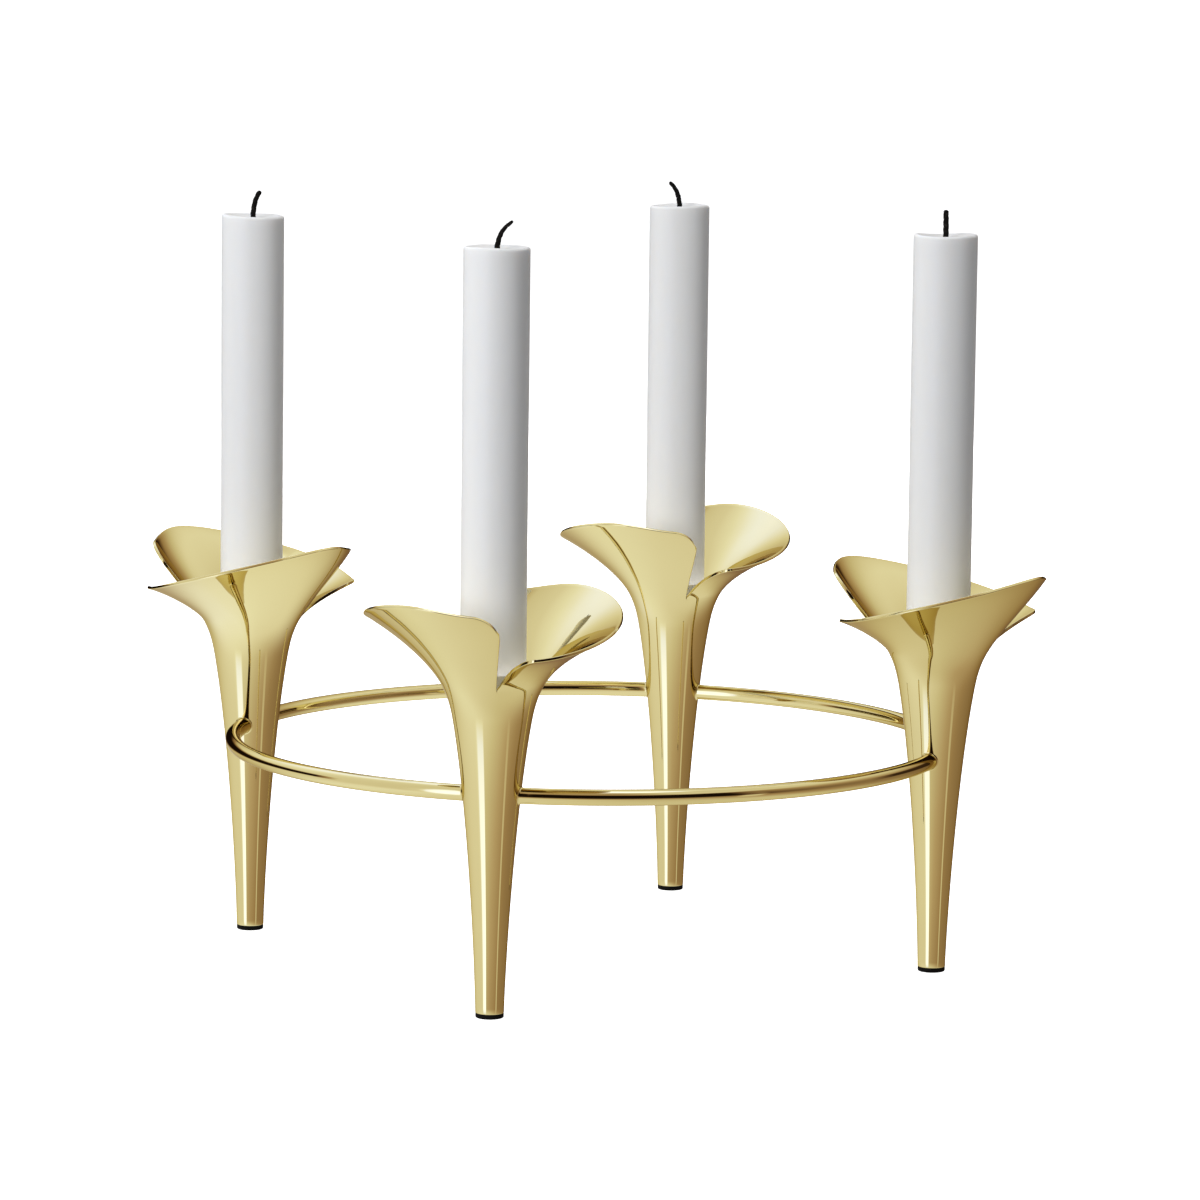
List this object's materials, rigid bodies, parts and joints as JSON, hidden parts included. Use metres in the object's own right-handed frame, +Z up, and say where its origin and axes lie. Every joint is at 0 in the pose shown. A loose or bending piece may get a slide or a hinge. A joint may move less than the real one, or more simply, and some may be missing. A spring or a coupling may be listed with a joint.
{
  "type": "taper candle holder",
  "caption": "Round tabletop candle holder: slender trumpet legs joined by a thin ring, each opening into wrapped petals round a taper candle.",
  "frame": {"origin": "on the table, under the middle of the ring", "axes": "+Z up along the candles; the front leg stands on -Y, the right one on +X, the back one on +Y and the left one on -X"},
  "size_m": [0.3259, 0.3274, 0.2655],
  "materials": {
    "metal": "mirror-polished pale gold",
    "wax": "smooth white wax with a soft sheen",
    "wick": "burnt cotton",
    "pad": "matt black"
  },
  "bodies": {
    "holder": {"foot_pad_front": "pad", "leg_front": "metal", "petal_front_a": "metal", "petal_front_b": "metal", "foot_pad_right": "pad", "leg_right": "metal", "petal_right_a": "metal", "petal_right_b": "metal", "foot_pad_back": "pad", "leg_back": "metal", "petal_back_a": "metal", "petal_back_b": "metal", "foot_pad_left": "pad", "leg_left": "metal", "petal_left_a": "metal", "petal_left_b": "metal", "ring_rod_front_right": "metal", "ring_rod_right_back": "metal", "ring_rod_back_left": "metal", "ring_rod_left_front": "metal"},
    "taper_front": {"candle_front": "wax", "wick_front": "wick"},
    "taper_right": {"candle_right": "wax", "wick_right": "wick"},
    "taper_back": {"candle_back": "wax", "wick_back": "wick"},
    "taper_left": {"candle_left": "wax", "wick_left": "wick"}
  },
  "joints": [
    {"name": "candle_front_lift", "type": "slide", "parent": "holder", "child": "taper_front", "axis": [0, 0, 1], "range_m": [0, 0.06]},
    {"name": "candle_right_lift", "type": "slide", "parent": "holder", "child": "taper_right", "axis": [0, 0, 1], "range_m": [0, 0.06]},
    {"name": "candle_back_lift", "type": "slide", "parent": "holder", "child": "taper_back", "axis": [0, 0, 1], "range_m": [0, 0.06]},
    {"name": "candle_left_lift", "type": "slide", "parent": "holder", "child": "taper_left", "axis": [0, 0, 1], "range_m": [0, 0.06]}
  ]
}
